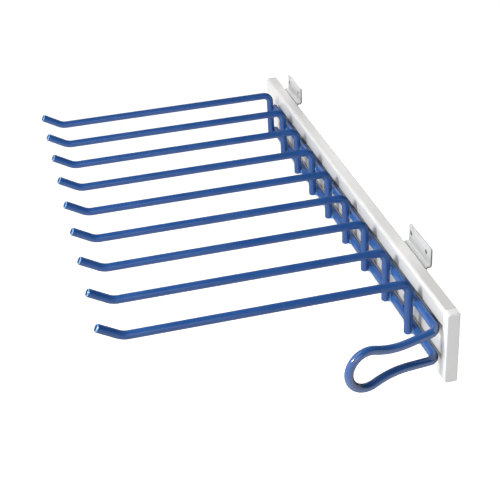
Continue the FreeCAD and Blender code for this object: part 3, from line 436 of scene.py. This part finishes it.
def zinc_plate(name, bright, dull, streaks, rough, metallic, holes=(), shade_span=None):
    """Zinc plated strip: rolled grain, faint spangle, dark bare sheared edges, and hole walls
    darkened as bare cut steel and as painted shade inside the holes.

    The strip is sheared square to Y. holes are (y, z, radius) of the holes through it along X, and
    the last argument is the span of heights over which painted shade, low on the upright flange by
    its bend, clears.
    """
    finish = Finish(name, Metallic=metallic)
    tree = finish.tree
    grain = use_group(tree, ROLLED_GRAIN, {"Place": finish.place, "Stretch": streaks})
    streak = between(tree, grain["Streak"], *NOISE_SPAN)
    colour = blend_colour(tree, streak, dull, bright)
    flake = math_node(tree, "MULTIPLY", grain["Spangle"], SPANGLE_SHARE)
    colour = blend_colour(tree, flake, colour, scaled(bright, SPANGLE_SHADE))
    facing_x, facing_y, _ = axes_of(tree, finish.facing)
    _, along, up = axes_of(tree, finish.place)
    off_face = between(tree, math_node(tree, "ABSOLUTE", facing_x), *FLANGE_FACE, 1.0, 0.0)
    # Painted shade: the upright flange is darker low down by its bend.
    if shade_span is not None:
        near_bend = between(tree, up, *shade_span, 1.0, 0.0)
        bend_shade_mask = math_node(tree, "SUBTRACT", near_bend, off_face, clamp=True)
        share = math_node(tree, "MULTIPLY", bend_shade_mask, BEND_SHADE_SHARE)
        colour = blend_colour(tree, share, colour, scaled(dull, BEND_SHADE))
    cut_and_hole_shade = between(tree, math_node(tree, "ABSOLUTE", facing_y), *SHEARED_FACE)
    # The hole walls get the cut colour: bare cut steel, and painted shade inside the holes.
    for hole_y, hole_z, radius in holes:
        reach = distance(tree, along, up, hole_y, hole_z)
        wall = between(tree, reach, *(radius + past for past in HOLE_WALL), 1.0, 0.0)
        cut_and_hole_shade = math_node(tree, "MAXIMUM", cut_and_hole_shade, math_node(tree, "MULTIPLY", wall, off_face))
    torn = noise(tree, stretched(tree, finish.place, SHEAR_STREAKS), scale=1.0)
    torn = between(tree, torn, low=0.35, high=0.65)
    sheared = blend_colour(tree, torn, scaled(dull, SHEAR_DARK), scaled(dull, SHEAR_LIGHT))
    finish.feed("Base Color", blend_colour(tree, cut_and_hole_shade, colour, sheared))
    roughness = between(tree, grain["Streak"], *WIDE_NOISE_SPAN, rough, rough + METAL_ROUGH_SPREAD)
    roughness = math_node(tree, "MULTIPLY_ADD", cut_and_hole_shade, SHEAR_ROUGHER, roughness, clamp=True)
    finish.feed("Roughness", roughness)
    finish.bump(grain["Height"], strength=0.1, depth=0.1 * MM)
    return finish.material


def rail_zinc(name, rows):
    """Rolled rail: streaks along the slide and, on the ball races, a burnished greasy track.

    rows are the places (x, z) of the rows of balls.
    """
    finish = Finish(name, Metallic=0.9)
    tree = finish.tree
    grain = use_group(tree, ROLLED_GRAIN, {"Place": finish.place, "Stretch": RAIL_STREAKS})
    streak = between(tree, grain["Streak"], *NOISE_SPAN)
    colour = blend_colour(tree, streak, RAIL_DULL, RAIL_BRIGHT)
    across, _, up = axes_of(tree, finish.place)
    track = None
    for row_x, row_z in rows:
        reach = distance(tree, across, up, row_x, row_z)
        mask = between(tree, reach, *TRACK_REACH, 1.0, 0.0)
        track = mask if track is None else math_node(tree, "MAXIMUM", track, mask)
    smear = noise(tree, stretched(tree, finish.place, GREASE_STREAKS), scale=1.0, detail=4.0)
    film = between(tree, smear, low=0.3, high=0.6, to_low=0.45, to_high=0.85)
    film = math_node(tree, "MULTIPLY", track, film)
    finish.feed("Base Color", blend_colour(tree, film, colour, GREASE))
    dull = between(tree, grain["Streak"], *WIDE_NOISE_SPAN, to_low=0.3, to_high=0.42)
    finish.feed("Roughness", math_node(tree, "MULTIPLY_ADD", track, TRACK_POLISH, dull, clamp=True))
    finish.bump(grain["Height"], strength=0.08, depth=0.1 * MM)
    return finish.material


def bright_steel(name, colour, rough, scale):
    """Plated screws, rivets and balls: bright metal with faint tarnish and a fine turned grain."""
    finish = Finish(name, Metallic=1.0)
    tree = finish.tree
    tarnish = noise(tree, finish.place, scale, detail=4.0, roughness=0.6)
    tarnish = between(tree, tarnish, low=0.35, high=0.7)
    finish.feed("Base Color", blend_colour(tree, tarnish, colour, scaled(colour, TARNISH_SHADE)))
    finish.feed("Roughness", between(tree, tarnish, 0.0, 1.0, rough, rough + METAL_ROUGH_SPREAD))
    grain = noise(tree, finish.place, scale * GRAIN_FINER, detail=2.0)
    finish.bump(grain, strength=0.05, depth=0.1 * MM)
    return finish.material


def matt_plastic(name, colour):
    """Soft matt plastic with a fine spark-eroded grain."""
    finish = Finish(name, Roughness=0.55)
    tree = finish.tree
    grain = noise(tree, finish.place, scale=1800.0, detail=3.0, roughness=0.6)
    cloud = between(tree, noise(tree, finish.place, scale=60.0), *NOISE_SPAN)
    finish.feed("Base Color", blend_colour(tree, cloud, scaled(colour, PLASTIC_SHADE), colour))
    finish.bump(grain, strength=0.25, depth=0.1 * MM)
    return finish.material


FINGER_DEEP_BLUE, FINGER_BLUE = (0.017, 0.075, 0.262), (0.025, 0.092, 0.303)
# The rods have the fingers' coat; their blues are lighter as painted light, for how the rods catch the
# light.
ROD_LIT_DEEP_BLUE, ROD_LIT_BLUE = (0.02, 0.092, 0.305), (0.03, 0.114, 0.365)
WELD_HIGHLIGHT_BLUE = (0.2, 0.41, 0.71)
COVER_COLOUR, CAP_COLOUR = (0.752, 0.745, 0.727), (0.92, 0.92, 0.915)
BRACKET_BRIGHT, BRACKET_DULL = (0.8, 0.8, 0.802), (0.7, 0.703, 0.707)
BRACKET_STREAKS = (300.0, 12.0, 300.0)
# Span of heights of the painted shade low on the bracket flanges, by their bend.
BRACKET_BEND_SHADE = (-6.5 * MM, 3.0 * MM)
CAGE_BRIGHT, CAGE_DULL = (0.62, 0.63, 0.64), (0.48, 0.49, 0.5)
CAGE_STREAKS = (500.0, 8.0, 500.0)
CHROME, PLATED = (0.78, 0.78, 0.78), (0.7, 0.705, 0.71)
BUFFER_COLOUR = (0.62, 0.62, 0.6)
DOWN, REARWARD = Vector((0.0, 0.0, -1.0)), Vector((0.0, 1.0, 0.0))
TIP_CUT = (TIP_DIRECTION, farthest(FINGERS[0], TIP_DIRECTION))
FOOT_CUT = (DOWN, -FOOT_Z)
ROD_CUT = (REARWARD, ROD_END_Y)

FINGER_COAT = wire_coat(
    "blue_coat_fingers", FINGER_DEEP_BLUE, FINGER_BLUE, gloss=0.35, cuts=(TIP_CUT, FOOT_CUT)
)
ROD_COAT = wire_coat(
    "blue_coat_rods", ROD_LIT_DEEP_BLUE, ROD_LIT_BLUE, gloss=1.0, cuts=(ROD_CUT,), contact_shaded=True
)
PLATE_COAT = wire_coat("blue_coat_plates", FINGER_DEEP_BLUE, FINGER_BLUE, gloss=0.6)
# The welds' second blue, pale, is a painted highlight on the weld pools.
WELD_COAT = wire_coat("blue_coat_welds", ROD_LIT_BLUE, WELD_HIGHLIGHT_BLUE, gloss=1.0)
COVER_WHITE = white_moulding(
    "white_cover", COVER_COLOUR, rough=0.14, seam_y=COVER_FRONT_Y, contact_shade_heights=ROD_HEIGHTS
)
CAP_WHITE = white_moulding("white_cap", CAP_COLOUR, rough=0.2)
RAIL_ZINC = rail_zinc("rail_zinc", ball_rows("outer_balls") + ball_rows("inner_balls"))
CAGE_STRIP = zinc_plate(
    "cage_strip", CAGE_BRIGHT, CAGE_DULL, CAGE_STREAKS, rough=0.28, metallic=0.85
)
BALL_CHROME = bright_steel("ball_chrome", CHROME, rough=0.08, scale=300.0)
PLATED_STEEL = bright_steel("plated_steel", PLATED, rough=0.24, scale=160.0)
BUFFER_PLASTIC = matt_plastic("buffer_plastic", BUFFER_COLOUR)

finishes = {
    "frame_wire": ROD_COAT,
    "outer_rail": RAIL_ZINC,
    "middle_rail": RAIL_ZINC,
    "inner_rail": RAIL_ZINC,
    "outer_cage": CAGE_STRIP,
    "inner_cage": CAGE_STRIP,
    "outer_balls": BALL_CHROME,
    "inner_balls": BALL_CHROME,
    "closing_buffer": BUFFER_PLASTIC,
    "rail_cover": COVER_WHITE,
    "front_cap": CAP_WHITE,
}
finishes.update({name: FINGER_COAT for name in FINGERS})
finishes.update({name: PLATE_COAT for name in PLATES})
finishes.update({name: PLATED_STEEL for name in FRAME_SCREWS + RIVETS})
for bracket in BRACKETS:
    finishes[bracket] = zinc_plate(
        f"{bracket}_zinc", BRACKET_BRIGHT, BRACKET_DULL, BRACKET_STREAKS, rough=0.34,
        metallic=0.5, holes=screw_holes(bracket), shade_span=BRACKET_BEND_SHADE,
    )
for name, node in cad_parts.items():
    for slot in node.material_slots:
        slot.material = finishes[name]


# ---- weld pools and runs, worked out on grids ----

# The pool of coat where an upright wire crosses a rod.
POOL_SIDES = 40
POOL_STEPS = 9
POOL_REACH = 2.85 * MM
POOL_WAIST = 0.3 * MM
POOL_SUNK = 0.12 * MM
POOL_END = 0.35  # the reach of the sunk end rings, as a share

# The run of weld between a rod and a fixing plate, and its section: off the plate's face, and up.
RUN_STEPS = 25
RUN_SHORTER = 3.0 * MM
RUN_LEAST = 0.08
RUN_SECTION_X = np.array([0.1, 0.1, 0.05, -0.35, -0.62, -0.9, -1.15, -0.5]) * MM
RUN_SECTION_Z = np.array([0.2, 1.6, 2.25, 1.95, 1.92, 2.05, 2.35, 1.2]) * MM


def grid_piece(name, grids, finish, body):
    """One mesh of closed grids, each (count along, count round, 3).

    A grid closes round: corner j of a ring joins corner j + 1, and the last joins the first. Its
    first and last rings are gathered into poles, which lie at the mean of their rings.
    """
    vertices, faces = [], []
    base = 0
    for grid in grids:
        along, around, _ = grid.shape
        vertices.append(grid.reshape(-1, 3))
        vertices.append(grid[0].mean(0)[None])
        vertices.append(grid[-1].mean(0)[None])
        i, j = np.meshgrid(np.arange(along - 1), np.arange(around), indexing="ij")
        k = (j + 1) % around
        quads = np.stack(
            [i * around + j, i * around + k, (i + 1) * around + k, (i + 1) * around + j], -1
        ).reshape(-1, 4)
        ring = np.arange(around)
        after = (ring + 1) % around
        first_pole = np.full(around, along * around)
        last_pole = first_pole + 1
        last_row = (along - 1) * around
        fan_first = np.stack([after, ring, first_pole], -1)
        fan_last = np.stack([last_row + ring, last_row + after, last_pole], -1)
        faces += (quads + base).tolist()
        faces += (fan_first + base).tolist()
        faces += (fan_last + base).tolist()
        base += along * around + 2
    mesh = bpy.data.meshes.new(name)
    mesh.from_pydata(np.concatenate(vertices).tolist(), [], faces)
    mesh.polygons.foreach_set("use_smooth", np.ones(len(faces), bool))
    mesh.materials.append(finish)
    mesh.update()
    piece = bpy.data.objects.new(name, mesh)
    bpy.context.scene.collection.objects.link(piece)
    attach(piece, body)
    return piece


def crossing_weld(along_y, height, seed):
    """Coat pooled round the weld of an upright wire (at UPRIGHT_X) and a level rod (at ROD_X).

    A ring of angle t lies on both wires: at reach r from the contact it is on the rod where
    x = ROD_X - sqrt(R^2 - z^2) and on the upright where x = UPRIGHT_X + sqrt(R^2 - y^2), with
    y = r cos t and z = r sin t, and a root below nought counts as nought. Between the two the
    reach dips by a half sine, so the pool has a waist; both ends are drawn in to the middle, a
    little inside the wires. Two sines round the ring make the reach uneven.
    """
    rng = np.random.default_rng(seed)
    turn = np.linspace(0.0, 2 * np.pi, POOL_SIDES, endpoint=False)
    uneven = 1 + 0.05 * np.sin(2 * turn + rng.uniform(0, 6)) + 0.03 * np.sin(
        3 * turn + rng.uniform(0, 6)
    )
    steps = np.linspace(0.0, 1.0, POOL_STEPS)
    share = np.concatenate([[0.0], steps, [1.0]])
    reach = np.concatenate([[POOL_END], np.ones(POOL_STEPS), [POOL_END]])
    waist = np.concatenate([[0.0], np.sin(np.pi * steps), [0.0]])
    r = POOL_REACH * uneven[None, :] * reach[:, None] - POOL_WAIST * waist[:, None]
    y = r * np.cos(turn)[None, :]
    z = r * np.sin(turn)[None, :]
    on_rod = ROD_X + POOL_SUNK - np.sqrt(np.maximum(WIRE_RADIUS**2 - z**2, 0.0))
    on_upright = UPRIGHT_X - POOL_SUNK + np.sqrt(np.maximum(WIRE_RADIUS**2 - y**2, 0.0))
    x = on_rod * (1 - share[:, None]) + on_upright * share[:, None]
    return np.stack([x, y + along_y, z + height], -1)


def plate_weld(along_y, height, side, seed):
    """Weld run along the corner between a rod and a fixing plate, above (side 1) or below (-1).

    The section is a closed hollow-faced triangle: one leg on the plate, one on the rod, and an arc
    between them; it runs along Y for the plate's width, swells and narrows by two sines, and its
    ends taper by the sixth power of the way from the middle.
    """
    rng = np.random.default_rng(seed)
    t = np.linspace(-0.5, 0.5, RUN_STEPS)
    size = (1 - (2 * t) ** 6) * (
        1 + 0.1 * np.sin(19 * t + rng.uniform(0, 6)) + 0.06 * np.sin(41 * t + rng.uniform(0, 6))
    )
    size = np.maximum(size, RUN_LEAST)
    x = PLATE_FACE + RUN_SECTION_X[None, :] * size[:, None]
    z = height + side * RUN_SECTION_Z[None, :] * (0.75 + 0.25 * size[:, None])
    y = along_y + t * (PLATE_WIDTH - RUN_SHORTER)
    grid = np.stack([x, np.repeat(y[:, None], len(RUN_SECTION_X), 1), z], -1)
    return grid if side > 0 else grid[:, ::-1]


pools = []
for number, name in enumerate(FINGERS):
    for level, height in enumerate(ROD_HEIGHTS):
        pools.append(crossing_weld(middle_y(name), height, seed=10 * number + level))
grid_piece("wire_welds", pools, WELD_COAT, "rack")

runs = []
for number, name in enumerate(PLATES):
    for height, side in ((UPPER_ROD_Z, -1), (LOWER_ROD_Z, 1)):
        runs.append(plate_weld(middle_y(name), height, side, seed=100 + 10 * number + side))
grid_piece("plate_welds", runs, PLATE_COAT, "rack")


# ---- stage: floor, world, lamps, camera ----

FLOOR_Z = -0.9
FLOOR_SIZE = 14.0
FLOOR_COLOUR = (0.8, 0.8, 0.8, 1.0)
FLOOR_GLOW = 0.31
FLOOR_WHITE = 0.89
WHITE = (1.0, 1.0, 1.0, 1.0)
WALL_LIGHT = 1.05
WALL_FADE = (-0.85, 0.1)
CEILING_LIGHT = 0.28
CEILING_FADE = (0.25, 0.6)
BACKDROP_FADE = (0.05, 0.3)

# Soft lamps, all aimed at the rack's middle: name, place, width, height, watts.
RACK_MIDDLE = Vector((-0.12, 0.14, -0.03))
LAMPS = (
    ("key_lamp", (-0.85, -0.25, 0.6), 0.17, 0.17, 9.2),
    ("side_box", (-0.75, -0.2, 0.5), 1.5, 0.7, 0.7),
    ("side_top_box", (-0.8, 0.2, 1.4), 1.0, 1.0, 4.8),
    ("front_box", (-0.3, -1.8, 0.8), 1.0, 1.0, 6.0),
    ("back_box", (0.1, 2.0, 0.7), 1.0, 1.0, 4.2),
    ("back_right_box", (1.0, 1.8, 0.7), 1.0, 1.0, 5.0),
)

CAMERA_PLACE = Vector((-0.2806, -0.6655, 0.4120))
CAMERA_AZIMUTH = math.radians(-12.9)
CAMERA_ELEVATION = math.radians(30.0)
CAMERA_ROLL = math.radians(3.2)
SENSOR = 36.0
FOCAL_WIDTHS = 2.24
CLIP_START = 0.01


def background_rays(tree, backdrop=1.0):
    """1 for rays that meet the white background: the camera's, and gloss and glass at the backdrop."""
    rays = add(tree, "ShaderNodeLightPath").outputs
    gloss = math_node(tree, "MAXIMUM", rays["Is Glossy Ray"], rays["Is Transmission Ray"])
    shown = math_node(tree, "MULTIPLY", gloss, backdrop)
    return math_node(tree, "MAXIMUM", rays["Is Camera Ray"], shown)


def make_floor():
    """Pale matt floor that keeps shadows, raised to white for the rays that see the background."""
    half = FLOOR_SIZE / 2
    corners = [(x, y, FLOOR_Z) for x, y in ((-half, -half), (half, -half), (half, half), (-half, half))]
    mesh = bpy.data.meshes.new("floor")
    mesh.from_pydata(corners, [], [(0, 1, 2, 3)])
    material = bpy.data.materials.new("studio_floor")
    material.use_nodes = True
    tree = material.node_tree
    tree.nodes.clear()
    matt = add(tree, "ShaderNodeBsdfDiffuse", {"Color": FLOOR_COLOUR})
    white = math_node(tree, "MULTIPLY", background_rays(tree), FLOOR_WHITE)
    strength = math_node(tree, "MAXIMUM", FLOOR_GLOW, white)
    glow = add(tree, "ShaderNodeEmission", {"Strength": strength})
    both = add(tree, "ShaderNodeAddShader", {0: matt.outputs[0], 1: glow.outputs[0]})
    add(tree, "ShaderNodeOutputMaterial", {"Surface": both.outputs[0]})
    mesh.materials.append(material)
    floor = bpy.data.objects.new("floor", mesh)
    bpy.context.scene.collection.objects.link(floor)


def make_world():
    """White background: a low backdrop all round, and behind it, as light, a studio that is pale
    on the left and dark on the right and above."""
    world = bpy.data.worlds.new("studio")
    bpy.context.scene.world = world
    world.use_nodes = True
    tree = world.node_tree
    tree.nodes.clear()
    across, _, up = axes_of(tree, add(tree, "ShaderNodeTexCoord").outputs["Generated"])
    from_left = between(tree, across, *WALL_FADE, 1.0, 0.0)
    low = between(tree, up, *CEILING_FADE, WALL_LIGHT, CEILING_LIGHT)
    walls = math_node(tree, "MULTIPLY", from_left, low)
    white = background_rays(tree, between(tree, up, *BACKDROP_FADE, 1.0, 0.0))
    lit = {"Color": WHITE, "Strength": math_node(tree, "MAXIMUM", walls, white)}
    background = add(tree, "ShaderNodeBackground", lit)
    add(tree, "ShaderNodeOutputWorld", {"Surface": background.outputs[0]})


def make_lamp(name, place, width, height, power):
    """An oblong soft lamp, aimed at the rack's middle."""
    lamp = bpy.data.lights.new(name, "AREA")
    lamp.shape = "RECTANGLE"
    lamp.size, lamp.size_y = width, height
    lamp.energy = power
    holder = bpy.data.objects.new(name, lamp)
    bpy.context.scene.collection.objects.link(holder)
    holder.location = place
    holder.rotation_mode = "QUATERNION"
    holder.rotation_quaternion = (RACK_MIDDLE - Vector(place)).to_track_quat("-Z", "Y")


def make_camera():
    """Camera turned by its azimuth and elevation, then rolled about its line of sight."""
    back = Vector(
        (
            math.sin(CAMERA_AZIMUTH) * math.cos(CAMERA_ELEVATION),
            -math.cos(CAMERA_AZIMUTH) * math.cos(CAMERA_ELEVATION),
            math.sin(CAMERA_ELEVATION),
        )
    )
    level = Vector((math.cos(CAMERA_AZIMUTH), math.sin(CAMERA_AZIMUTH), 0.0))
    right = math.cos(CAMERA_ROLL) * level + math.sin(CAMERA_ROLL) * (-back).cross(level)
    turned = Matrix((right, back.cross(right), back)).transposed().to_4x4()
    data = bpy.data.cameras.new("camera")
    data.sensor_width = SENSOR
    data.lens = SENSOR * FOCAL_WIDTHS
    data.clip_start = CLIP_START
    camera = bpy.data.objects.new("camera", data)
    bpy.context.scene.collection.objects.link(camera)
    camera.matrix_world = Matrix.Translation(CAMERA_PLACE) @ turned
    bpy.context.scene.camera = camera


make_floor()
make_world()
for lamp in LAMPS:
    make_lamp(*lamp)
make_camera()

bpy.context.scene.view_settings.view_transform = "Standard"
